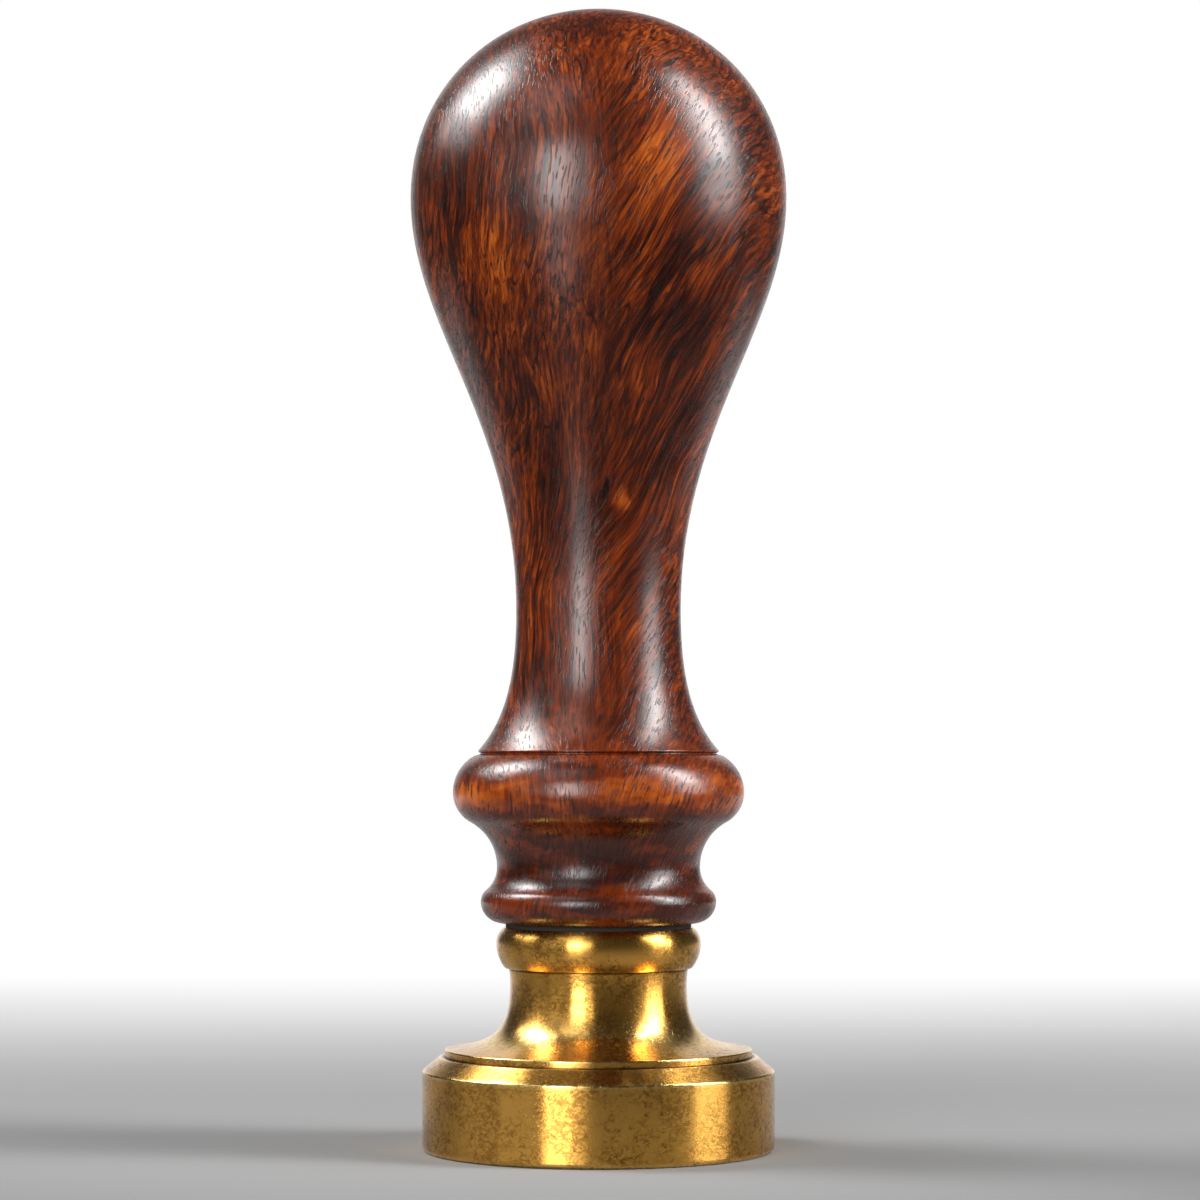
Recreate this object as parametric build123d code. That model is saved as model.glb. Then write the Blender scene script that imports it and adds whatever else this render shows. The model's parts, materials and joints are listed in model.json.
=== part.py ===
from build123d import *
import math
import os

# Wax seal stamp: a turned rosewood handle that screws into an engraved brass head.
# Millimetres, +Z up, origin at the centre of the seal face, so the stamp stands on z = 0.

overall_height = 81.3

# Die: the brass seal disc
die_diameter = 25.0
die_side_height = 5.6
die_shoulder_height = 1.0
die_ledge = 0.4               # flat ring left outside the neck's flange
face_edge_chamfer = 0.3

# Engraving in the seal face: a plain rosette inside a ring, cut with sloping walls
engraving_depth = 0.8
engraving_draft = 20.0        # degrees
petal_count = 8
petal_start = 1.9             # from the centre to the petal's inner tip
petal_length = 6.6
petal_width = 2.5
eye_diameter = 2.2
dot_diameter = 1.3
dot_circle = 15.4
ring_diameter = 20.4
ring_width = 0.9

# Neck: the brass socket on the die
flange_diameter = 21.8
flange_edge_height = 0.55
flange_slope = 6.0            # degrees of rise of the flange's top, at its rim
neck_waist_diameter = 12.55
neck_cove_height = 4.55
neck_cove_fullness = 0.735    # pull of the cove's two ends, as a share of its width and height
neck_lip_diameter = 12.75
neck_lip_height = 1.15
spigot_diameter = 11.0
spigot_length = 3.0
spigot_clearance = 0.03
spigot_end_gap = 0.1
spigot_chamfer = 0.3

# Collar: the brass bead ring
collar_bottom_diameter = 13.3
collar_diameter = 14.55
collar_top_diameter = 13.55
collar_lower_height = 1.75
collar_upper_height = 1.1

# Washer between wood and brass
washer_diameter = 13.2
washer_thickness = 0.35

# Stud and threaded insert, drawn at the thread's nominal diameter
stud_diameter = 7.0
stud_grip = 12.0              # length held in the insert
thread_engagement = 7.5       # length held in the neck
thread_clearance = 0.05
stud_chamfer = 0.6
socket_end_gap = 0.5
ring_clearance = 0.2          # collar and washer around the stud
insert_diameter = 9.5
insert_length = 15.0
insert_recess = 0.3
insert_clearance = 0.05
insert_chamfer = 0.5
insert_slot_width = 1.4
insert_slot_depth = 1.8
wood_bore_end_gap = 0.4

# Handle, from its foot up
foot_face_diameter = 13.8
foot_bead_diameter = 16.75
foot_bead_rise = 1.5
hollow_diameter = 14.45
hollow_rise = 2.45
hollow_turn = 0.67            # where the curve changes hand between hollow and foot bead
bead_diameter = 20.75
bead_rise = 5.3
bead_turn = 0.4               # where the curve changes hand between bead and hollow
bead_shoulder_rise = 2.6
bead_step = 0.22              # the bead's top stands this far outside the flare's lip
quirk_width = 0.3
quirk_depth = 0.3
lip_diameter = 17.25
flare_rise = 10.0
flare_angle = 41.0            # degrees from upright, at the lip
flare_lip_pull = 0.273
flare_waist_pull = 0.514
waist_diameter = 11.75
body_waist_pull = 0.458
body_bulb_pull = 0.309
bulb_diameter = 26.95

# Heights, stacked from the seal face
die_top_z = die_side_height + die_shoulder_height
flange_top_z = die_top_z + flange_edge_height
neck_waist_z = flange_top_z + neck_cove_height
neck_top_z = neck_waist_z + neck_lip_height
collar_widest_z = neck_top_z + collar_lower_height
collar_top_z = collar_widest_z + collar_upper_height
foot_z = collar_top_z + washer_thickness
foot_bead_z = foot_z + foot_bead_rise
hollow_z = foot_bead_z + hollow_rise
bead_z = hollow_z + bead_rise
bead_top_z = bead_z + bead_shoulder_rise
lip_z = bead_top_z + quirk_width
waist_z = lip_z + flare_rise
bulb_z = overall_height - bulb_diameter / 2

# Levels of the screwed joint
spigot_end_z = die_top_z - spigot_length
stud_end_z = neck_top_z - thread_engagement
stud_top_z = foot_z + stud_grip
insert_end_z = foot_z + insert_recess
insert_top_z = insert_end_z + insert_length

up = (0, 1)
down = (0, -1)


def turned(*edges):
    """Solid of revolution about Z from outline edges given as (radius, height)."""
    return revolve(Plane.XZ * make_face(edges), Axis.Z)


def tube(outer_diameter, inner_diameter, low, high):
    """Plain ring between two heights."""
    ring = Circle(outer_diameter / 2) - Circle(inner_diameter / 2)
    return extrude(Pos(0, 0, low) * ring, high - low)


def rod(diameter, low, high):
    """Plain round bar between two heights."""
    return extrude(Pos(0, 0, low) * Circle(diameter / 2), high - low)


def s_curve(lower, upper, turn):
    """Two arcs, upright at both ends, that meet in one slope at the share turn of their chord."""
    middle = Vector(*lower) * (1 - turn) + Vector(*upper) * turn
    return TangentArc(lower, middle, tangent=up), TangentArc(upper, middle, tangent=down)


def handle():
    foot_rim = (foot_face_diameter / 2, foot_z)
    foot_bead = (foot_bead_diameter / 2, foot_bead_z)
    hollow = (hollow_diameter / 2, hollow_z)
    bead = (bead_diameter / 2, bead_z)
    bead_top = (lip_diameter / 2 + bead_step, bead_top_z)
    quirk = (lip_diameter / 2 - quirk_depth, bead_top_z + quirk_width / 2)
    lip = (lip_diameter / 2, lip_z)
    waist = (waist_diameter / 2, waist_z)
    bulb = (bulb_diameter / 2, bulb_z)
    top = (0, overall_height)

    # Pull points of the two free curves: the flare and the long body
    lip_pull = flare_lip_pull * flare_rise
    slope = math.radians(flare_angle)
    flare_low = (lip[0] - lip_pull * math.sin(slope), lip_z + lip_pull * math.cos(slope))
    flare_high = (waist[0], waist_z - flare_waist_pull * flare_rise)
    body_rise = bulb_z - waist_z
    body_low = (waist[0], waist_z + body_waist_pull * body_rise)
    body_high = (bulb[0], bulb_z - body_bulb_pull * body_rise)
    body = Bezier(waist, body_low, body_high, bulb)

    wood = turned(
        Line((0, foot_z), foot_rim),
        TangentArc(foot_bead, foot_rim, tangent=down),
        *s_curve(foot_bead, hollow, 1 - hollow_turn),
        *s_curve(hollow, bead, 1 - bead_turn),
        TangentArc(bead, bead_top, tangent=up),
        Line(bead_top, quirk),
        Line(quirk, lip),
        Bezier(lip, flare_low, flare_high, waist),
        body.trim(0, 0.5),
        body.trim(0.5, 1),
        TangentArc(bulb, top, tangent=up),
        Line(top, (0, foot_z)),
    )
    bore_diameter = insert_diameter + 2 * insert_clearance
    return wood - rod(bore_diameter, foot_z, insert_top_z + wood_bore_end_gap)


def threaded_insert():
    bore_diameter = stud_diameter + 2 * thread_clearance
    body = tube(insert_diameter, bore_diameter, insert_end_z, insert_top_z)
    outer_rims = body.edges().filter_by(GeomType.CIRCLE).group_by(SortBy.RADIUS)[-1]
    body = chamfer(outer_rims, insert_chamfer)
    slot_z = insert_end_z + insert_slot_depth / 2
    return body - Pos(0, 0, slot_z) * Box(insert_diameter, insert_slot_width, insert_slot_depth)


def stud():
    bar = rod(stud_diameter, stud_end_z, stud_top_z)
    return chamfer(bar.edges().filter_by(GeomType.CIRCLE), stud_chamfer)


def fibre_washer():
    return tube(washer_diameter, stud_diameter + 2 * ring_clearance, collar_top_z, foot_z)


def collar():
    bore = stud_diameter / 2 + ring_clearance
    bottom = (collar_bottom_diameter / 2, neck_top_z)
    widest = (collar_diameter / 2, collar_widest_z)
    top = (collar_top_diameter / 2, collar_top_z)
    return turned(
        Line((bore, neck_top_z), bottom),
        TangentArc(widest, bottom, tangent=down),
        TangentArc(widest, top, tangent=up),
        Line(top, (bore, collar_top_z)),
        Line((bore, collar_top_z), (bore, neck_top_z)),
    )


def neck():
    rim = (flange_diameter / 2, flange_top_z)
    waist = (neck_waist_diameter / 2, neck_waist_z)
    lip = (neck_lip_diameter / 2, neck_top_z)
    cove_pull = neck_cove_fullness * (rim[0] - waist[0])
    slope = math.radians(flange_slope)
    cove_low = (rim[0] - cove_pull * math.cos(slope), flange_top_z + cove_pull * math.sin(slope))
    cove_high = (waist[0], neck_waist_z - neck_cove_fullness * neck_cove_height)
    body = turned(
        Line((0, die_top_z), (rim[0], die_top_z)),
        Line((rim[0], die_top_z), rim),
        Bezier(rim, cove_low, cove_high, waist),
        TangentArc(waist, lip, tangent=up),
        Line(lip, (0, neck_top_z)),
        Line((0, neck_top_z), (0, die_top_z)),
    )
    spigot = rod(spigot_diameter, spigot_end_z, die_top_z)
    spigot = chamfer(spigot.edges().group_by(Axis.Z)[0], spigot_chamfer)
    socket = rod(stud_diameter + 2 * thread_clearance, stud_end_z - socket_end_gap, neck_top_z)
    return body + spigot - socket


def pocket(outline):
    """Engraved recess under an outline on the seal face, narrower as it gets deeper."""
    return extrude(outline, engraving_depth, taper=engraving_draft)


def rosette():
    petal_end = petal_start + petal_length
    petal_middle = petal_start + petal_length / 2
    petal = pocket(make_face([
        ThreePointArc((petal_start, 0), (petal_middle, -petal_width / 2), (petal_end, 0)),
        ThreePointArc((petal_end, 0), (petal_middle, petal_width / 2), (petal_start, 0)),
    ]))
    dot = pocket(Circle(dot_diameter / 2))
    between_petals = 180 / petal_count
    petals = [place * petal for place in PolarLocations(0, petal_count)]
    dots = [place * dot for place in PolarLocations(dot_circle / 2, petal_count, between_petals)]
    eye = pocket(Circle(eye_diameter / 2))
    return petals + dots + [eye]


def ring_groove():
    inner = (ring_diameter - ring_width) / 2
    outer = (ring_diameter + ring_width) / 2
    lean = ring_width / 4
    depth = lean / math.tan(math.radians(engraving_draft))
    corners = [(inner, 0), (outer, 0), (outer - lean, depth), (inner + lean, depth)]
    return turned(*Polyline(*corners, close=True).edges())


def die():
    radius = die_diameter / 2
    ledge = flange_diameter / 2 + die_ledge
    corners = [
        (0, 0),
        (radius - face_edge_chamfer, 0),
        (radius, face_edge_chamfer),
        (radius, die_side_height),
        (ledge, die_top_z),
        (0, die_top_z),
    ]
    disc = turned(*Polyline(*corners, close=True).edges())
    socket = rod(spigot_diameter + 2 * spigot_clearance, spigot_end_z - spigot_end_gap, die_top_z)
    return disc - socket - ring_groove() - rosette()


os.makedirs("parts", exist_ok=True)
for piece in (handle, threaded_insert, stud, fibre_washer, collar, neck, die):
    export_step(piece(), f"parts/{piece.__name__}.step")
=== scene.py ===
import json
import math
import bmesh
import bpy
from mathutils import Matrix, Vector
from mathutils.geometry import interpolate_bezier

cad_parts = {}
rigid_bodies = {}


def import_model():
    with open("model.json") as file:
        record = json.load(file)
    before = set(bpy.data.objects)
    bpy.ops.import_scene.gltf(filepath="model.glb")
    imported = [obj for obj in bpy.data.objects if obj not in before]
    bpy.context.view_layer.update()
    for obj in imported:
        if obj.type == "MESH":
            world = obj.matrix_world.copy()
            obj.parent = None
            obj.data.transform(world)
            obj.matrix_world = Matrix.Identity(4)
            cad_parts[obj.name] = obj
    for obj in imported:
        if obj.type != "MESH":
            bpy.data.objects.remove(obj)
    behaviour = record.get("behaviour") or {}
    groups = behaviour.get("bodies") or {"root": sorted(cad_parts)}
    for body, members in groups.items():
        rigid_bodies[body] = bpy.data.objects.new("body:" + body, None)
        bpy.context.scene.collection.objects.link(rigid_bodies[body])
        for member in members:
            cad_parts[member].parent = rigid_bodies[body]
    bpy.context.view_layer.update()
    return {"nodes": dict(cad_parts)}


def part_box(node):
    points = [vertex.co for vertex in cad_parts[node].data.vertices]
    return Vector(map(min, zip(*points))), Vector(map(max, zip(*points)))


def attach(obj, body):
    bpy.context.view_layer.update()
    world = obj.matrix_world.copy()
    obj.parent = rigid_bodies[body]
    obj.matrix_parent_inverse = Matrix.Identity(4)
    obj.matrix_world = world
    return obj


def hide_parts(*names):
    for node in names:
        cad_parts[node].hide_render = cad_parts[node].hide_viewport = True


# Wax seal stamp: turned rosewood handle, aged brass head, steel stud between them.
# Outlines are in millimetres, as (radius, height). Meshes are in metres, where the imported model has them.

for leftover in list(bpy.data.objects):
    bpy.data.objects.remove(leftover)
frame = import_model()
mm = 0.001
up = Vector((0, 1))
print("frame:", ", ".join(sorted(frame["nodes"])))


def span(node):    # radius, bottom and top of a turned node, in millimetres
    low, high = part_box(node)
    return high.x / mm, low.z / mm, high.z / mm


# Curves of the turned outlines

arcSteps, cornerSteps = 14, 5


def arc(start, end, heading, steps=arcSteps):    # leaves start along heading
    chord = end - start
    turn = math.atan2(heading.x * chord.y - heading.y * chord.x, heading.dot(chord))
    points = []
    for step in range(steps + 1):
        swing = turn * step / steps
        reach = chord.length * math.sin(swing) / math.sin(turn)
        cosine, sine = math.cos(swing), math.sin(swing)
        ray = Vector((heading.x * cosine - heading.y * sine, heading.x * sine + heading.y * cosine))
        points.append(start + ray * reach)
    return points


def arcInto(start, end, heading):    # reaches end along heading
    return arc(end, start, -heading)[::-1]


def sCurve(lower, upper, turn):    # upright at both ends, changes hand at the share turn of its chord
    middle = lower.lerp(upper, turn)
    return arc(lower, middle, up) + arcInto(middle, upper, up)


def eased(corners, hold=0.03):    # straight runs; a third number rounds that corner
    places = [Vector(corner[:2]) for corner in corners]
    points = [places[0]]
    for index in range(1, len(corners) - 1):
        here = places[index]
        if len(corners[index]) < 3:
            points.append(here)
            continue
        arrive = (here - places[index - 1]).normalized()
        leave = (places[index + 1] - here).normalized()
        cut = corners[index][2] * math.tan(arrive.angle(leave) / 2)
        start, end = here - arrive * cut, here + leave * cut
        rounded = arc(start, end, arrive, cornerSteps)
        points += [start - arrive * hold, *rounded, end + leave * hold]    # hold keeps both runs flat
    return points + [places[-1]]


# Meshes

turnedSegments, threadSegments = 192, 72
sharpAngle = 35    # degrees; an edge that turns more stays sharp
samePoint = 1e-4    # millimetres
weldDistance, sliverLength = 1e-8, 1e-7    # metres


def addPiece(name, build):
    bmesh.ops.remove_doubles(build, verts=build.verts, dist=weldDistance)
    bmesh.ops.recalc_face_normals(build, faces=build.faces)
    mesh = bpy.data.meshes.new(name)
    build.to_mesh(mesh)
    build.free()
    mesh.shade_smooth()
    mesh.set_sharp_from_angle(angle=math.radians(sharpAngle))
    piece = bpy.data.objects.new(name, mesh)
    bpy.context.scene.collection.objects.link(piece)
    return piece


def bridge(build, first, second):    # faces between two rings, either of which may be one point
    count = max(len(first), len(second))
    for index in range(count):
        after = (index + 1) % count
        corners = [first[index % len(first)], first[after % len(first)]]
        corners += [second[after % len(second)], second[index % len(second)]]
        build.faces.new(list(dict.fromkeys(corners)))


def lathe(name, outline, segments=turnedSegments, closed=False):
    build = bmesh.new()
    rings = []
    before = None
    for point in outline:
        if before is not None and (Vector(point) - before).length < samePoint:
            continue
        before = Vector(point)
        radius, height = before * mm
        turns = [2 * math.pi * step / segments for step in range(segments if radius > 0 else 1)]
        rings.append([
            build.verts.new((radius * math.cos(turn), radius * math.sin(turn), height))
            for turn in turns
        ])
    for lower, upper in zip(rings, rings[1:]):
        bridge(build, lower, upper)
    if closed:
        bridge(build, rings[-1], rings[0])
    return addPiece(name, build)


def carve(piece, cutter, operation="DIFFERENCE"):
    change = piece.modifiers.new("carve", "BOOLEAN")
    change.operation = operation
    change.solver = "EXACT"
    change.object = cutter
    name = piece.name
    carved = piece.evaluated_get(bpy.context.evaluated_depsgraph_get())
    build = bmesh.new()
    build.from_mesh(carved.to_mesh())
    bmesh.ops.dissolve_degenerate(build, edges=build.edges, dist=sliverLength)
    bpy.data.objects.remove(cutter)
    bpy.data.objects.remove(piece)
    return addPiece(name, build)


threadForm = {"root": (0.0, 0.25), "crest": (0.5625, 0.6875), "ease": 0.03}    # shares of the pitch


def helix(name, crest, root, pitch, bottom, top):    # right-hand thread, closed at both ends
    ease = threadForm["ease"]    # softens each corner
    corners = [(share, root) for share in threadForm["root"]]
    corners += [(share, crest) for share in threadForm["crest"]]
    profile = []
    for index, (share, radius) in enumerate(corners):
        after = corners[(index + 1) % len(corners)]
        for side, nextShare, nextRadius in (-1, *corners[index - 1]), (1, *after):
            part = ease / (side * (nextShare - share) % 1)
            profile.append((share + side * ease, radius + (nextRadius - radius) * part))
    turns = math.ceil((top - bottom) / pitch)
    build = bmesh.new()
    columns = []
    for step in range(threadSegments * turns + 1):
        turn = 2 * math.pi * step / threadSegments
        height = bottom + pitch * step / threadSegments
        column = []
        for share, radius in profile:
            place = Vector((math.cos(turn) * radius, math.sin(turn) * radius, height + share * pitch))
            column.append(build.verts.new(place * mm))
        columns.append(column)
    last = threadSegments * (turns - 1)
    for step in range(last):    # each column runs on into the one a turn above it
        above = step + threadSegments
        left = columns[step] + columns[above][:1]
        right = columns[step + 1] + columns[above + 1][:1]
        for index in range(len(profile)):
            build.faces.new((left[index], right[index], right[index + 1], left[index + 1]))
    for start, height in ((0, bottom - pitch), (last, top + 2 * pitch)):
        rim = [column[0] for column in columns[start:start + threadSegments + 1]]
        rim += columns[start][:0:-1]
        bridge(build, rim, [build.verts.new((0, 0, height * mm))])
    loose = [vertex for vertex in build.verts if not vertex.link_faces]
    bmesh.ops.delete(build, geom=loose, context="VERTS")
    return addPiece(name, build)


# Shader nodes

class Wire:    # an output socket; sums, products and powers of wires add their Math nodes
    def __init__(self, board, socket):
        self.board = board
        self.socket = socket

    def math(self, operation, first, second):
        return self.board.node("ShaderNodeMath", {"operation": operation}, {0: first, 1: second})

    def __add__(self, other):
        return self.math("ADD", self, other)

    def __radd__(self, other):
        return self.math("ADD", other, self)

    def __sub__(self, other):
        return self.math("SUBTRACT", self, other)

    def __rsub__(self, other):
        return self.math("SUBTRACT", other, self)

    def __mul__(self, other):
        return self.math("MULTIPLY", self, other)

    def __rmul__(self, other):
        return self.math("MULTIPLY", other, self)

    def __pow__(self, other):
        return self.math("POWER", self, other)


class Board:    # the node tree of one finish
    def __init__(self, tree):
        self.tree = tree
        tree.nodes.clear()

    def node(self, kind, settings=None, inputs=None, out=0):
        made = self.tree.nodes.new(kind)
        for name, value in (settings or {}).items():
            if name == "stops":
                self.setStops(made.color_ramp, value)
            else:
                setattr(made, name, value)
        for name, value in (inputs or {}).items():
            if isinstance(value, Wire):
                self.tree.links.new(value.socket, made.inputs[name])
            else:
                made.inputs[name].default_value = value
        return Wire(self, made.outputs[out]) if made.outputs else None

    def setStops(self, ramp, stops):
        while len(ramp.elements) < len(stops):
            ramp.elements.new(1)
        for element, (place, colour) in zip(ramp.elements, stops):
            element.position = place
            element.color = (*colour, 1)

    def ramp(self, value, stops):
        return self.node("ShaderNodeValToRGB", {"stops": stops}, {"Fac": value})

    def vector(self, operation, first, second, out=0):
        return self.node("ShaderNodeVectorMath", {"operation": operation}, {0: first, 1: second}, out)

    def scaled(self, place, size):
        return self.node("ShaderNodeVectorMath", {"operation": "SCALE"}, {0: place, "Scale": size})

    def mapped(self, place, turn, size, middle=(0, 0, 0)):    # a place measured in a turned, sized frame
        values = {"Vector": place, "Location": middle, "Rotation": turn, "Scale": size}
        return self.node("ShaderNodeMapping", {"vector_type": "TEXTURE"}, values)

    def millimetres(self):    # object coordinates, so a pattern rides with its piece
        return self.scaled(self.node("ShaderNodeTexCoord", out="Object"), 1 / mm)

    def axis(self, place, name):
        return self.node("ShaderNodeSeparateXYZ", inputs={0: place}, out=name)

    def noise(self, place, scale, detail=2.0, roughness=0.5, out="Fac"):
        values = {"Vector": place, "Scale": scale, "Detail": detail, "Roughness": roughness}
        return self.node("ShaderNodeTexNoise", inputs=values, out=out)

    def rise(self, value, low, high):    # 0 at low, 1 at high, smooth between; low may be the larger
        limits = {"Value": value, "From Min": low, "From Max": high}
        return self.node("ShaderNodeMapRange", {"interpolation_type": "SMOOTHSTEP"}, limits)

    def patches(self, place, scale, detail, roughness, low, high):    # spots where a noise is high
        return self.rise(self.noise(place, scale, detail, roughness), low, high)

    def contour(self, value, width):    # 1 along the lines where a noise passes its middle
        off = value - 0.5
        return self.rise((off * off) ** 0.5, width, width / 4)

    def mix(self, share, first, second):    # colours are sockets 6 and 7, and 2 of the outputs
        first, second = (x if isinstance(x, Wire) else (*x, 1) for x in (first, second))
        settings = {"data_type": "RGBA", "clamp_factor": True}
        return self.node("ShaderNodeMix", settings, {0: share, 6: first, 7: second}, 2)

    def stirred(self, place, *moves):    # a place moved about by noises of (scale, size), size either way
        for scale, size in moves:
            swing = self.vector("SUBTRACT", self.noise(place, scale, out="Color"), (0.5, 0.5, 0.5))
            place = self.vector("ADD", place, self.scaled(swing, 2 * size))
        return place

    def rings(self, place, rings):    # 1 on rings of (radius, height, width), 0 beyond their width
        x, y, z = (self.axis(place, name) for name in "XYZ")
        radius = (x * x + y * y) ** 0.5
        total = 0
        for ringRadius, ringHeight, width in rings:
            across, along = radius - ringRadius, z - ringHeight
            total = total + self.rise((across * across + along * along) ** 0.5, width, 0)
        return total

    def bump(self, height, depth, strength):    # depth in millimetres
        values = {"Height": height, "Distance": depth * mm, "Strength": strength}
        return self.node("ShaderNodeBump", inputs=values)

    def surface(self, values):
        made = self.node("ShaderNodeBsdfPrincipled", inputs=values)
        self.node("ShaderNodeOutputMaterial", inputs={"Surface": made})


def newFinish(name):
    finish = bpy.data.materials.new(name)
    finish.use_nodes = True
    return finish, Board(finish.node_tree)


def dress(piece, finish, body, node):
    piece.data.materials.append(finish)
    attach(piece, body)
    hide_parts(node)
    print("piece:", piece.name, len(piece.data.polygons), "faces")


# Handle: turned rosewood

handleShape = {
    "bore": 9.6, "boreDepth": 15.7, "boreEase": 0.3,
    "footFace": 13.8,
    "footBead": 16.75, "footBeadRise": 1.5,
    "hollow": 14.45, "hollowRise": 2.45, "hollowTurn": 0.67,
    "bead": 20.75, "beadRise": 5.3, "beadTurn": 0.4, "shoulderRise": 2.6,
    "beadStep": 0.22, "beadEase": 0.1,
    "quirkWidth": 0.3, "quirkDepth": 0.3, "quirkEase": 0.05, "quirkHold": 0.01,
    "lip": 17.25, "lipEase": 0.08,
    "flareRise": 10.0, "flareAngle": 41, "flareLipPull": 0.273, "flareWaistPull": 0.514,
    "waist": 11.75, "bodyWaistPull": 0.458, "bodyBulbPull": 0.309,
    "crownSidePull": 0.595, "crownTopPull": 0.536,
    "flareSteps": 40, "bodySteps": 70, "crownSteps": 48,
}


def lowerTurnings(shape):    # radius and height of the foot bead, the hollow and the bead
    height = span("handle")[1]
    points = []
    for name in ("footBead", "hollow", "bead"):
        height += shape[name + "Rise"]
        points.append(Vector((shape[name] / 2, height)))
    return points


def handleOutline(shape):
    bulbRadius, foot, top = span("handle")
    bore, ease = shape["bore"] / 2, shape["boreEase"]
    boreTop = foot + shape["boreDepth"]
    footRim = Vector((shape["footFace"] / 2, foot))
    footBead, hollow, bead = lowerTurnings(shape)
    beadTop = Vector((shape["lip"] / 2 + shape["beadStep"], bead.y + shape["shoulderRise"]))
    lip = Vector((shape["lip"] / 2, beadTop.y + shape["quirkWidth"]))
    quirk = Vector((lip.x - shape["quirkDepth"], (beadTop.y + lip.y) / 2))
    waist = Vector((shape["waist"] / 2, lip.y + shape["flareRise"]))
    bulb = Vector((bulbRadius, top - bulbRadius))
    crown = Vector((0, top))

    slope = math.radians(shape["flareAngle"])
    lipPull = Vector((-math.sin(slope), math.cos(slope))) * shape["flareLipPull"] * shape["flareRise"]
    waistPull = up * shape["flareWaistPull"] * shape["flareRise"]
    bodyRise = bulb.y - waist.y
    bodyLow = waist + up * shape["bodyWaistPull"] * bodyRise
    bodyHigh = bulb - up * shape["bodyBulbPull"] * bodyRise
    crownSide = bulb + up * shape["crownSidePull"] * bulbRadius
    crownTop = crown + Vector((shape["crownTopPull"] * bulbRadius, 0))

    shoulder = arc(bead, beadTop, up)
    beadEdge, quirkFloor = (*beadTop, shape["beadEase"]), (*quirk, shape["quirkEase"])
    lipEdge = (*lip, shape["lipEase"])
    groove = eased([shoulder[-2], beadEdge, quirkFloor, lipEdge, lip + lipPull], shape["quirkHold"])
    return [
        Vector((0, boreTop)),
        *eased([(bore, boreTop), (bore, foot + ease), (bore + ease, foot), footRim]),
        *arcInto(footRim, footBead, up),
        *sCurve(footBead, hollow, 1 - shape["hollowTurn"]),
        *sCurve(hollow, bead, 1 - shape["beadTurn"]),
        *shoulder[:-2],
        *groove[:-1],
        *interpolate_bezier(groove[-2], lip + lipPull, waist - waistPull, waist, shape["flareSteps"]),
        *interpolate_bezier(waist, bodyLow, bodyHigh, bulb, shape["bodySteps"]),
        *interpolate_bezier(bulb, crownSide, crownTop, crown, shape["crownSteps"]),
    ]


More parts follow.
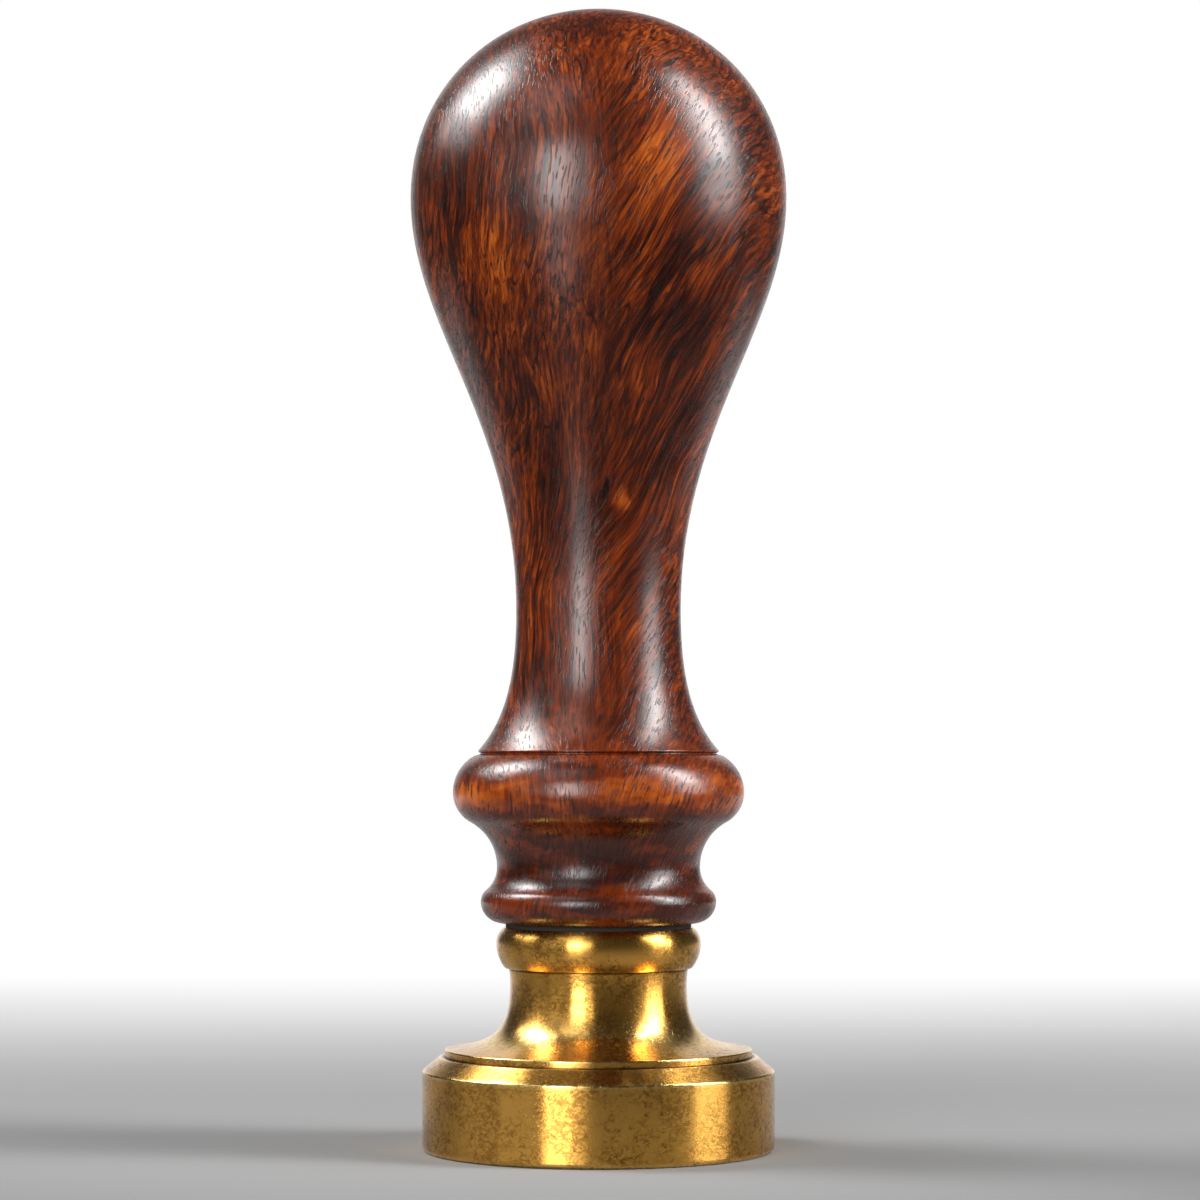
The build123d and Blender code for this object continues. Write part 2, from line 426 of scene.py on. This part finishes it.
woodLook = {
    "tones": [
        (0.00, (0.013, 0.0018, 0.0003)),    # near-black streaks
        (0.25, (0.049, 0.0062, 0.0005)),    # dark heart
        (0.50, (0.150, 0.0205, 0.0012)),    # red-brown
        (0.75, (0.335, 0.0640, 0.0060)),    # orange-brown
        (1.00, (0.510, 0.1250, 0.0120)),    # honey
    ],
    "pore": (0.009, 0.0016, 0.0008), "poreCover": 0.8,
    "roughness": 0.26, "poreRoughness": 0.12, "gloss": 0.5,
    "fleckRelief": 0.15, "relief": (0.02, 0.4),    # depth in millimetres, strength

    # Grain: its lean to the right going up, and its length and depth against its width
    "leanLeft": 3, "leanRight": 30, "leanChange": (-3.0, 3.5), "leanNoise": 0.12, "leanWander": 8,
    "broadStretch": 4, "stretch": 26, "fleckStretch": 9, "depthStretch": 4,
    "wavy": [(0.06, 2.5), (0.35, 0.12)], "ragged": [(0.25, 0.8), (1.2, 0.3)],    # scale, size

    # Layers of the grain: scale, detail and roughness of a noise, then where it starts and is full
    "broad": (0.22, 3, 0.55, 0.36, 0.64), "broadShare": 0.20,
    "flecks": (4.5, 2, 0.6, 0.42, 0.58), "fleckShare": 0.15,
    "fine": (3.6, 2, 0.6, 0.40, 0.60), "fineShare": 0.24,
    "pores": (7.5, 1, 0.5, 0.58, 0.66),
    "streaks": (1.0, 4, 0.6),
    "lightStreaks": (0.38, 0.62), "lightStreakShare": 0.18,
    "darkStreaks": (0.56, 0.62), "darkStreakShare": 0.20,
    "lines": (1.0, 1, 0.5), "lineWidth": 0.022, "lineShare": 0.27,

    # Zones of the front: middle to the right and up, half width, half length, lean, lighter or darker; most
    # are figure of the wood, and the two marked ones are painted highlights
    "figureAndSheenZones": [
        (4.0, 68.3, 2.8, 5.0, 18, 0.26),
        (4.0, 78.0, 2.8, 2.0, 10, 0.04),
        (-2.0, 79.0, 5.5, 2.2, 0, -0.22),
        (-7.4, 62.3, 3.4, 5.2, 4, 0.32),
        # painted highlight down the middle of the bulb
        (-0.6, 63.5, 3.2, 6.5, 6, 0.14),
        (1.6, 45.7, 0.8, 1.3, 10, 0.45),
        (1.6, 34.7, 1.8, 4.2, 24, 0.03),
        (0.3, 46.5, 0.4, 1.0, 6, -0.60),
        (3.9, 59.5, 0.9, 7.5, 30, -0.36),
        (6.3, 57.6, 2.6, 4.6, 28, -0.32),
        (-10.7, 67.7, 1.8, 2.8, 0, -0.15),
        (-5.5, 55.9, 2.6, 1.8, 0, -0.10),
        (-5.0, 50.0, 4.0, 8.0, 4, -0.13),
        (5.0, 50.5, 3.5, 8.0, 24, -0.15),
        (3.6, 41.0, 2.6, 5.0, 20, -0.16),
        # painted highlight on the left of the waist
        (-3.8, 39.0, 2.4, 5.0, 2, 0.22),
    ],
    "figureDepth": 4.0, "figureEdge": (1.0, 0.2),

    # Lower turnings, which cut across the grain: spread and change at the foot bead, hollow and bead, where
    # the darker foot bead and hollow are painted shade and the bead is lighter
    "turningShadeAndTone": [(1.6, -0.10), (2.4, -0.20), (2.0, 0.32)],
    "bodyStart": (24, 35), "middleTone": 0.38, "toneLeft": 0.45, "darkLeft": 0.10,
    "swirl": (0.7, 3, 0.6, 0.38, 0.62), "swirlSize": (0.3, 0.3, 1.1), "swirlShare": 0.26,
}


def rosewood(look, shape, outline):
    finish, board = newFinish("rosewood")
    place = board.millimetres()
    wavy = board.stirred(place, *look["wavy"])
    ragged = board.stirred(place, *look["ragged"])
    paintedLightAndFigure = 0
    # painted shade in the hollow and at the foot bead, and a lighter bead
    for point, (spread, change) in zip(lowerTurnings(shape), look["turningShadeAndTone"]):
        paintedLightAndFigure = paintedLightAndFigure + change * board.rings(ragged, [(*point, spread)])
    # figure zones of the front, two of them painted highlights
    for across, height, width, length, lean, change in look["figureAndSheenZones"]:
        radius = max(point.x for point in outline if abs(point.y - height) < 1)
        middle = (across, -math.sqrt(radius * radius - across * across), height)
        size = (width, look["figureDepth"], length)
        near = board.mapped(ragged, (0, math.radians(lean), 0), size, middle)
        away = board.vector("LENGTH", near, (0, 0, 0), "Value")
        paintedLightAndFigure = paintedLightAndFigure + change * board.rise(away, *look["figureEdge"])

    def grain(lean):    # tone, dark lines, flecks and pores of grain that leans this way
        turn = (0, math.radians(lean), 0)
        broad, along, short = (
            board.mapped(wavy, turn, (1, look["depthStretch"], look[name]))
            for name in ("broadStretch", "stretch", "fleckStretch")
        )
        streaks = board.noise(along, *look["streaks"])
        flecks = board.patches(short, *look["flecks"])
        pore = board.patches(short, *look["pores"])
        tone = look["broadShare"] * board.patches(broad, *look["broad"])
        tone = tone + look["lightStreakShare"] * board.rise(streaks, *look["lightStreaks"])
        tone = tone + look["fleckShare"] * flecks
        tone = tone + look["fineShare"] * board.patches(along, *look["fine"])
        lines = board.contour(board.noise(along, *look["lines"]), look["lineWidth"])
        dark = look["darkStreakShare"] * board.rise(streaks, *look["darkStreaks"])
        return tone, dark + look["lineShare"] * lines, flecks, pore

    wander = look["leanWander"] * (board.noise(place, look["leanNoise"]) - 0.5)
    right = board.rise(board.axis(place, "X") + wander, *look["leanChange"])
    pairs = zip(grain(look["leanLeft"]), grain(look["leanRight"]))
    tone, dark, flecks, pore = (first + (second - first) * right for first, second in pairs)
    body = board.rise(board.axis(ragged, "Z"), *look["bodyStart"])    # 0 on the lower turnings
    swirl = board.patches(board.vector("MULTIPLY", ragged, look["swirlSize"]), *look["swirl"])
    toneLeft, darkLeft = (left + (1 - left) * body for left in (look["toneLeft"], look["darkLeft"]))
    tone = look["middleTone"] + (tone - look["middleTone"]) * toneLeft
    tone = tone + paintedLightAndFigure - dark * darkLeft
    tone = tone + look["swirlShare"] * (1 - body) * (swirl - 0.5)
    board.surface({
        "Base Color": board.mix(look["poreCover"] * pore, board.ramp(tone, look["tones"]), look["pore"]),
        "Roughness": look["roughness"] + look["poreRoughness"] * pore,
        "Specular IOR Level": look["gloss"],
        "Normal": board.bump(look["fleckRelief"] * flecks - pore, *look["relief"]),
    })
    return finish


turnedOutline = handleOutline(handleShape)
handle = lathe("turned_handle", turnedOutline)
dress(handle, rosewood(woodLook, handleShape, turnedOutline), "handle", "handle")


# Aged brass of the head

brassLook = {
    "gold": (0.70, 0.37, 0.075),
    "tarnish": (0.22, 0.095, 0.016), "tarnishLimits": (0.50, 0.72), "tarnishCover": 0.75,
    # worn brass on rubbed edges; the same colour paints a highlight at the foot of the neck's cove
    "wearAndSheen": (0.92, 0.66, 0.24), "wearAndSheenLimits": (0.35, 0.55), "wearAndSheenCover": 0.8,
    # near-black brown for the pits, also used as painted shade in the joints between parts
    "pitsAndJointShade": (0.040, 0.018, 0.006), "jointShadeCover": 0.85,
    "patches": (0.35, 5, 0.65), "patchPull": 0.6,    # scale, detail and roughness of each noise
    "flecks": (3.2, 4, 0.65), "fleckStir": (1.2, 0.3), "fleckPull": 0.3,
    "curls": (1.5, 2, 0.5), "curlStir": (1.6, 0.35), "curlSize": (1, 1, 1.8), "curlWidth": 0.085,
    "curlLimits": (0.36, 0.56), "curlCover": 0.6,
    "specks": (9.0, 2, 0.6), "pitLimits": (0.66, 0.74), "pitCover": 0.8,
    "roughness": 0.24, "tarnishRoughness": 0.12, "jointRoughness": 0.2, "wearAndSheenSmoothness": 0.04,
    "brushed": 0.9, "brushTurn": 0.25,    # tool marks run round the piece and spread the light up and down
    "fleckRelief": 0.6, "speckRelief": 0.5, "pitRelief": 0.8, "relief": (0.012, 0.3),
}


def agedBrass(name, look, wearAndSheenRings, jointShadeRings):
    finish, board = newFinish(name)
    place = board.millimetres()
    patches = board.noise(place, *look["patches"])
    flecks = board.noise(board.stirred(place, look["fleckStir"]), *look["flecks"])
    flat = board.vector("MULTIPLY", board.stirred(place, look["curlStir"]), look["curlSize"])
    curls = board.contour(board.noise(flat, *look["curls"]), look["curlWidth"])
    curls = look["curlCover"] * curls * board.rise(patches, *look["curlLimits"])
    specks = board.noise(place, *look["specks"])
    # worn edges, and a painted highlight on the neck's cove, broken up by flecks
    wearAndSheen = board.rings(place, wearAndSheenRings) * board.rise(flecks, *look["wearAndSheenLimits"])
    # painted shade in the joints between parts, on the rings given
    pitsAndJointShade = board.rings(place, jointShadeRings)
    tarnish = board.rise(flecks + look["patchPull"] * (patches - 0.5), *look["tarnishLimits"])
    pits = board.rise(specks + look["fleckPull"] * (flecks - 0.5), *look["pitLimits"])
    colour = board.mix(look["tarnishCover"] * tarnish, look["gold"], look["tarnish"])
    colour = board.mix(curls, colour, look["tarnish"])
    colour = board.mix(look["pitCover"] * pits, colour, look["pitsAndJointShade"])
    colour = board.mix(look["wearAndSheenCover"] * wearAndSheen, colour, look["wearAndSheen"])
    colour = board.mix(look["jointShadeCover"] * pitsAndJointShade, colour, look["pitsAndJointShade"])
    roughness = look["roughness"] + look["tarnishRoughness"] * tarnish
    roughness = roughness + look["jointRoughness"] * pitsAndJointShade - look["wearAndSheenSmoothness"] * wearAndSheen
    relief = look["fleckRelief"] * flecks + look["speckRelief"] * specks - look["pitRelief"] * pits
    board.surface({
        "Base Color": colour,
        "Metallic": 1.0,
        "Roughness": roughness,
        "Anisotropic": look["brushed"],
        "Anisotropic Rotation": look["brushTurn"],
        "Normal": board.bump(relief, *look["relief"]),
    })
    return finish


# Collar: brass bead ring

collarShape = {
    "bore": 7.4, "bottom": 13.3, "lowerHeight": 1.75, "topFace": 13.55, "ease": 0.12,
    "wear": 0.3,    # width of the bright edges
}


def collarOutline(shape):
    widestRadius, bottom, top = span("collar")
    bore, ease = shape["bore"] / 2, shape["ease"]
    widest = Vector((widestRadius, bottom + shape["lowerHeight"]))
    lower = arcInto(Vector((shape["bottom"] / 2, bottom)), widest, up)
    upper = arc(widest, Vector((shape["topFace"] / 2, top)), up)
    return [
        *eased([(bore, top), (bore, bottom), (*lower[0], ease), lower[2]])[:-1],
        *lower[2:],
        *upper[:-2],
        *eased([upper[-3], (*upper[-1], ease), (bore, top)])[1:],
    ]


collar = lathe("brass_collar", collarOutline(collarShape), closed=True)
collarBottom, collarTop = span("collar")[1:]
collarWorn = [
    (collarShape["bottom"] / 2, collarBottom, collarShape["wear"]),
    (collarShape["topFace"] / 2, collarTop, collarShape["wear"]),
]
collarBrass = agedBrass("aged_brass_collar", brassLook, collarWorn, [])
dress(collar, collarBrass, "collar", "collar")


# Neck: brass socket with a flange

neckShape = {
    "spigot": 11.0, "spigotEase": 0.3,
    "flangeBottom": 6.6, "flangeEdge": 0.55, "flangeSlope": 6, "flangeEase": 0.12,
    "waist": 12.55, "coveHeight": 4.55, "coveFullness": 0.735, "coveSteps": 60,
    "lip": 12.75, "lipEase": 0.1,
    "socket": 7.1, "socketEnd": 4.85, "socketEase": 0.25,
    "rimWear": 0.3, "coveSheen": (8.0, 8.0, 2.6),    # painted highlight at the foot of the cove
    # widths of the painted shade at the flange and at the lip
    "flangeShade": 0.2, "lipShade": 0.25,
}


def neckOutline(shape):
    rimRadius, bottom, top = span("neck")
    spigot, socket = shape["spigot"] / 2, shape["socket"] / 2
    rim = Vector((rimRadius, shape["flangeBottom"] + shape["flangeEdge"]))
    waist = Vector((shape["waist"] / 2, rim.y + shape["coveHeight"]))
    lip = Vector((shape["lip"] / 2, top))
    slope = math.radians(shape["flangeSlope"])
    coveLow = rim + Vector((-math.cos(slope), math.sin(slope))) * shape["coveFullness"] * (rim.x - waist.x)
    coveHigh = waist - up * shape["coveFullness"] * shape["coveHeight"]
    base = eased([
        (0, bottom),
        (spigot - shape["spigotEase"], bottom),
        (spigot, bottom + shape["spigotEase"]),
        (spigot, shape["flangeBottom"]),
        (rim.x, shape["flangeBottom"], shape["flangeEase"] / 2),
        (*rim, shape["flangeEase"]),
        coveLow,
    ])[:-1]
    side = arc(waist, lip, up)
    return [
        *base,
        *interpolate_bezier(base[-1], coveLow, coveHigh, waist, shape["coveSteps"]),
        *side[:-2],
        *eased([
            side[-3],
            (*lip, shape["lipEase"]),
            (socket + shape["socketEase"], top),
            (socket, top - shape["socketEase"]),
            (socket, shape["socketEnd"]),
            (0, shape["socketEnd"]),
        ])[1:],
    ]


neck = lathe("brass_neck", neckOutline(neckShape))
flangeRadius, neckTop = span("neck")[::2]
flangeBottom = neckShape["flangeBottom"]
# a worn flange rim and a painted highlight at the foot of the cove
neckWearAndSheen = [
    (flangeRadius, flangeBottom + neckShape["flangeEdge"], neckShape["rimWear"]),
    neckShape["coveSheen"],
]
# painted shade where the flange meets the die and where the collar sits on the lip
neckJointShade = [
    (flangeRadius, flangeBottom, neckShape["flangeShade"]),
    (neckShape["lip"] / 2, neckTop, neckShape["lipShade"]),
]
dress(neck, agedBrass("aged_brass_neck", brassLook, neckWearAndSheen, neckJointShade), "head", "neck")


# Die: engraved brass seal

dieShape = {
    "sideHeight": 5.6, "sideEase": 0.18, "ledge": 11.3, "ledgeEase": 0.1, "faceEase": 0.35,
    "socket": 11.06, "socketEnd": 3.5,
    "ring": 20.4, "ringWidth": 0.9, "ringDepth": 0.618, "ringDraft": 0.225,
    "eye": 2.2, "depth": 0.8, "draft": 20, "edgeEase": 0.05, "floorEase": 0.12,
    "petals": 8, "petalStart": 1.9, "petalLength": 6.6, "petalWidth": 2.5, "petalSteps": 20,
    "dot": 1.3, "dotCircle": 15.4, "dotSteps": 32,
    "cutterProud": 0.3,    # the cutter stands this far out of the face
    "roundIn": 0.4, "roundDown": 0.3,    # shares of floorEase, halfway round the floor's edge
    # widths of the worn edges and of the painted shade at the ledge
    "sideWear": 0.35, "faceWear": 0.45, "ledgeWear": 0.25, "ledgeShade": 0.3,
}


def dieOutline(shape):
    radius, face, top = span("die")
    ease, floorEase = shape["edgeEase"], shape["floorEase"]
    eye = shape["eye"] / 2
    eyeFloor = eye - shape["depth"] * math.tan(math.radians(shape["draft"]))
    inner, outer = (shape["ring"] - shape["ringWidth"]) / 2, (shape["ring"] + shape["ringWidth"]) / 2
    lean, ringFloor = shape["ringDraft"], face + shape["ringDepth"]
    return eased([
        (0, face + shape["depth"]),
        (eyeFloor, face + shape["depth"], floorEase),
        (eye, face, ease),
        (inner, face, ease),
        (inner + lean, ringFloor, floorEase / 2),
        (outer - lean, ringFloor, floorEase / 2),
        (outer, face, ease),
        (radius, face, shape["faceEase"]),
        (radius, shape["sideHeight"], shape["sideEase"]),
        (shape["ledge"], top, shape["ledgeEase"]),
        (shape["socket"] / 2, top),
        (shape["socket"] / 2, shape["socketEnd"]),
        (0, shape["socketEnd"]),
    ])


def rosetteCutter(shape):    # petals and dots, narrower as they get deeper
    build = bmesh.new()
    tangent = math.tan(math.radians(shape["draft"]))
    depth, ease, proud = shape["depth"], shape["floorEase"], shape["cutterProud"]
    wall = depth - ease
    levels = [    # how far in and how high; the last three round the floor
        (-proud * tangent, -proud),
        (wall * tangent, wall),
        (wall * tangent + shape["roundIn"] * ease, depth - shape["roundDown"] * ease),
        (depth * tangent + ease, depth),
    ]

    def loft(outline, place, turn):
        cosine, sine = math.cos(turn), math.sin(turn)
        rings = []
        for inset, height in levels:
            ring = []
            for x, y in outline(inset):
                x += place
                corner = Vector((x * cosine - y * sine, x * sine + y * cosine, height))
                ring.append(build.verts.new(corner * mm))
            rings.append(ring)
        for lower, upper in zip(rings, rings[1:]):
            bridge(build, lower, upper)
        build.faces.new(rings[0])
        build.faces.new(rings[-1])

    def petal(inset):    # a lens between two arcs, drawn in by inset
        width, length, steps = shape["petalWidth"], shape["petalLength"], shape["petalSteps"]
        bend = (width * width + length * length) / (4 * width)
        offset, radius = bend - width / 2, bend - inset
        reach = math.acos(offset / radius)
        swings = [reach * (2 * step / steps - 1) for step in range(steps)]
        side = [(radius * math.sin(swing), radius * math.cos(swing) - offset) for swing in swings]
        return side + [(-x, -y) for x, y in side]

    def dot(inset):
        radius, steps = shape["dot"] / 2 - inset, shape["dotSteps"]
        turns = [2 * math.pi * step / steps for step in range(steps)]
        return [(radius * math.cos(turn), radius * math.sin(turn)) for turn in turns]

    for index in range(shape["petals"]):
        turn = 2 * math.pi * index / shape["petals"]
        loft(petal, shape["petalStart"] + shape["petalLength"] / 2, turn)
        loft(dot, shape["dotCircle"] / 2, turn + math.pi / shape["petals"])
    return addPiece("rosette_cutter", build)


die = carve(lathe("engraved_die", dieOutline(dieShape)), rosetteCutter(dieShape))
dieRadius, dieFace, dieTop = span("die")
dieWorn = [
    (dieRadius, dieShape["sideHeight"], dieShape["sideWear"]),
    (dieRadius, dieFace, dieShape["faceWear"]),
    (dieShape["ledge"], dieTop, dieShape["ledgeWear"]),
]
# painted shade where the flange meets the die's ledge
dieJointShade = [(flangeRadius, dieTop, dieShape["ledgeShade"])]
dress(die, agedBrass("aged_brass_die", brassLook, dieWorn, dieJointShade), "head", "die")


# Washer: black fibre

washerShape = {"bore": 7.4, "ease": 0.06}
fibreLook = {
    "dark": (0.012, 0.010, 0.009), "light": (0.040, 0.034, 0.028),
    "stir": (1.5, 0.4), "fibres": (6, 4, 0.7),
    "roughness": 0.75, "fibreRoughness": 0.15, "relief": (0.02, 0.6),
}


def blackFibre(look):
    finish, board = newFinish("black_fibre")
    fibres = board.noise(board.stirred(board.millimetres(), look["stir"]), *look["fibres"])
    board.surface({
        "Base Color": board.mix(fibres, look["dark"], look["light"]),
        "Roughness": look["roughness"] + look["fibreRoughness"] * fibres,
        "Normal": board.bump(fibres, *look["relief"]),
    })
    return finish


def washerOutline(shape):
    radius, bottom, top = span("fibre_washer")
    bore, ease = shape["bore"] / 2, shape["ease"]
    corners = [(bore, (bottom + top) / 2), (bore, bottom, ease), (radius, bottom, ease)]
    corners += [(radius, top, ease), (bore, top, ease), (bore, (bottom + top) / 2)]
    return eased(corners)[:-1]


washer = lathe("black_washer", washerOutline(washerShape), closed=True)
dress(washer, blackFibre(fibreLook), "collar", "fibre_washer")


# Stud and insert: machined metal

def machined(name, look):
    finish, board = newFinish(name)
    place = board.millimetres()
    cloud = board.noise(place, *look["cloud"])
    lines = board.noise(board.vector("MULTIPLY", place, look["lineSize"]), *look["lines"])
    board.surface({
        "Base Color": board.mix(cloud, look["dark"], look["light"]),
        "Metallic": 1.0,
        "Roughness": look["roughness"] + look["cloudRoughness"] * cloud,
        "Normal": board.bump(lines, *look["relief"]),
    })
    return finish


def threaded(name, trimName, inner, shape, node):    # a thread cut to the node's ends, with bevels
    crest, bottom, top = span(node)
    bevel, slack, overrun = shape["bevel"], shape["slack"], shape["overrun"]
    bar = helix(name, crest, shape["root"], shape["pitch"], bottom - overrun, top + overrun)
    trim = lathe(trimName, [
        (inner, bottom), (crest - bevel, bottom), (crest + slack, bottom + bevel + slack),
        (crest + slack, top - bevel - slack), (crest - bevel, top), (inner, top),
    ], threadSegments, closed=inner > 0)
    return carve(bar, trim, "INTERSECT")


studShape = {"root": 2.89, "pitch": 1.0, "bevel": 0.6, "slack": 0.1, "overrun": 2}
steelLook = {
    "dark": (0.46, 0.45, 0.42), "light": (0.66, 0.66, 0.65),
    "cloud": (1.4, 4, 0.6), "lines": (1.6, 2), "lineSize": (1, 1, 12),
    "roughness": 0.22, "cloudRoughness": 0.22, "relief": (0.008, 0.4),
}
stud = threaded("threaded_stud", "stud_trim", 0, studShape, "stud")
dress(stud, machined("zinc_steel", steelLook), "handle", "stud")

insertShape = {
    "bore": 7.1, "root": 4.3, "pitch": 2.5, "bevel": 0.5, "slack": 0.1, "overrun": 4,
    "slotWidth": 1.4, "slotDepth": 1.8, "slotOverrun": 1,
}
turnedLook = {
    "dark": (0.62, 0.42, 0.14), "light": (0.80, 0.60, 0.24),
    "cloud": (0.8, 4, 0.6), "lines": (1.5, 2), "lineSize": (0.4, 0.4, 14),
    "roughness": 0.20, "cloudRoughness": 0.18, "relief": (0.01, 0.5),
}


def slotCutter(shape):
    crest, bottom = span("threaded_insert")[:2]
    build = bmesh.new()
    bmesh.ops.create_cube(build, size=1)
    size = Vector((2 * crest + shape["slotOverrun"], shape["slotWidth"], 2 * shape["slotDepth"])) * mm
    bmesh.ops.scale(build, vec=size, verts=build.verts)
    bmesh.ops.translate(build, vec=(0, 0, bottom * mm), verts=build.verts)
    return addPiece("slot_cutter", build)


insert = threaded("slotted_insert", "insert_trim", insertShape["bore"] / 2, insertShape, "threaded_insert")
insert = carve(insert, slotCutter(insertShape))
dress(insert, machined("turned_brass", turnedLook), "handle", "threaded_insert")


# Camera, light and floor

shot = {    # place in millimetres, clip in metres
    "lens": 105, "sensor": 36, "place": (0.107, -249.8, 27.95), "pitch": 2.536, "clip": (0.01, 20),
}
lens = bpy.data.cameras.new("shot")
lens.lens, lens.sensor_width = shot["lens"], shot["sensor"]
lens.clip_start, lens.clip_end = shot["clip"]
camera = bpy.data.objects.new("shot", lens)
camera.location = Vector(shot["place"]) * mm
camera.rotation_euler = (math.radians(90 + shot["pitch"]), 0, 0)
bpy.context.scene.collection.objects.link(camera)
bpy.context.scene.camera = camera
bpy.context.scene.view_settings.view_transform = "Standard"

# Aim is in degrees to the right of the camera and up, size and distance in metres; a glow of 1 looks white
lampAim = Vector((0, 0, 0.045))
lampPlan = [
    {"name": "left_softbox", "aim": (-107, 43), "size": (0.30, 0.34), "glow": 4, "distance": 0.5},
    {"name": "left_heart", "aim": (-106, 45), "size": (0.16, 0.17), "glow": 20, "distance": 0.48},
    {"name": "right_softbox", "aim": (78, 22), "size": (0.23, 0.42), "glow": 7.5, "distance": 0.5},
    {"name": "right_heart", "aim": (80, 39), "size": (0.08, 0.36), "glow": 20, "distance": 0.48},
    {"name": "front_panel", "aim": (-22, 9), "size": (0.24, 0.30), "glow": 3.2, "distance": 0.5},
    {"name": "front_heart", "aim": (-26, 9), "size": (0.13, 0.24), "glow": 8, "distance": 0.48},
    {"name": "low_strip", "aim": (-24, -12), "size": (0.030, 0.036), "glow": 2.2, "distance": 0.10},
    {"name": "side_wash", "aim": (-54, 8), "size": (0.22, 0.40), "glow": 0.6, "distance": 0.5},
    {"name": "upper_wash", "aim": (-40, 50), "size": (0.24, 0.24), "glow": 1.6, "distance": 0.5},
]


def addLamp(plan):
    lamp = bpy.data.lights.new(plan["name"], "AREA")
    lamp.shape = "RECTANGLE"
    lamp.size, lamp.size_y = plan["size"]
    lamp.energy = plan["glow"] * math.pi * lamp.size * lamp.size_y
    around, over = (math.radians(angle) for angle in plan["aim"])
    level = math.cos(over)
    towards = Vector((math.sin(around) * level, -math.cos(around) * level, math.sin(over)))
    holder = bpy.data.objects.new(plan["name"], lamp)
    holder.location = lampAim + towards * plan["distance"]
    holder.rotation_euler = towards.to_track_quat("Z", "Y").to_euler()
    holder.visible_camera = False
    bpy.context.scene.collection.objects.link(holder)


for plan in lampPlan:
    addLamp(plan)

studioGrey = 0.07
world = bpy.data.worlds.new("studio")
bpy.context.scene.world = world
world.use_nodes = True
sky = Board(world.node_tree)
sky.node("ShaderNodeOutputWorld", inputs={
    "Surface": sky.node("ShaderNodeBackground", inputs={"Color": (1, 1, 1, 1), "Strength": studioGrey}),
})

floorLook = {    # lengths in metres
    "size": 4.0, "colour": 0.24,
    "poolMiddle": 0.06, "fadeFrom": 0.075, "fadeTo": 0.16,    # a pale pool, centred behind the stamp
    "whiteFrom": 0.03, "whiteTo": 0.20,    # further back it turns to the white of the backdrop
}
backdropLook = {
    "distance": 0.6, "width": 1.0, "height": 0.7,
    "whiteSide": 0.16, "greySide": 0.40, "whiteTop": 0.23, "greyTop": 0.55,    # white in the middle only
}


def seenRays(board):    # rays that show the white: from the camera, or by way of a gloss or a glass
    outs = ("Is Camera Ray", "Is Glossy Ray", "Is Transmission Ray")
    camera, glossy, glass = (board.node("ShaderNodeLightPath", out=name) for name in outs)
    return board.node("ShaderNodeClamp", inputs={"Value": camera + glossy + glass})


def whiteWidth(board, x):    # 1 in front of the white of the backdrop, 0 beside it
    return board.rise((x * x) ** 0.5, backdropLook["greySide"], backdropLook["whiteSide"])


def addSheet(name, corners, finish):
    mesh = bpy.data.meshes.new(name)
    mesh.from_pydata(corners, [], [(0, 1, 2, 3)])
    mesh.materials.append(finish)
    sheet = bpy.data.objects.new(name, mesh)
    bpy.context.scene.collection.objects.link(sheet)


def paleFloor(look):
    finish, board = newFinish("pale_floor")
    place = board.node("ShaderNodeTexCoord", out="Object")
    x, y = board.axis(place, "X"), board.axis(place, "Y")
    behind = y - look["poolMiddle"]
    fade = board.rise((x * x + behind * behind) ** 0.5, look["fadeFrom"], look["fadeTo"])
    sheet = whiteWidth(board, x) * board.rise(y, look["whiteFrom"], look["whiteTo"])
    shade = look["colour"]
    matt = board.node("ShaderNodeBsdfDiffuse", inputs={"Color": (shade, shade, shade, 1)})
    studio = board.node("ShaderNodeEmission", inputs={"Strength": studioGrey})
    white = board.node("ShaderNodeEmission", inputs={"Strength": 1.0})
    plain = board.node("ShaderNodeMixShader", inputs={0: fade, 1: matt, 2: studio})
    whole = board.node("ShaderNodeMixShader", inputs={0: sheet * seenRays(board), 1: plain, 2: white})
    board.node("ShaderNodeOutputMaterial", inputs={"Surface": whole})
    return finish


def whiteBackdrop(look):
    finish, board = newFinish("white_backdrop")
    place = board.node("ShaderNodeTexCoord", out="Object")
    low = board.rise(board.axis(place, "Z"), look["greyTop"], look["whiteTop"])
    white = low * whiteWidth(board, board.axis(place, "X")) * seenRays(board)
    glow = board.node("ShaderNodeEmission", inputs={"Strength": studioGrey + (1 - studioGrey) * white})
    board.node("ShaderNodeOutputMaterial", inputs={"Surface": glow})
    return finish


reach = floorLook["size"] / 2
floorCorners = [(-reach, -reach, 0), (reach, -reach, 0), (reach, reach, 0), (-reach, reach, 0)]
addSheet("floor", floorCorners, paleFloor(floorLook))
half, tall, back = backdropLook["width"] / 2, backdropLook["height"], backdropLook["distance"]
backdropCorners = [(-half, back, 0), (half, back, 0), (half, back, tall), (-half, back, tall)]
addSheet("backdrop", backdropCorners, whiteBackdrop(backdropLook))
print("stage: camera,", len(lampPlan), "lamps, floor and backdrop")
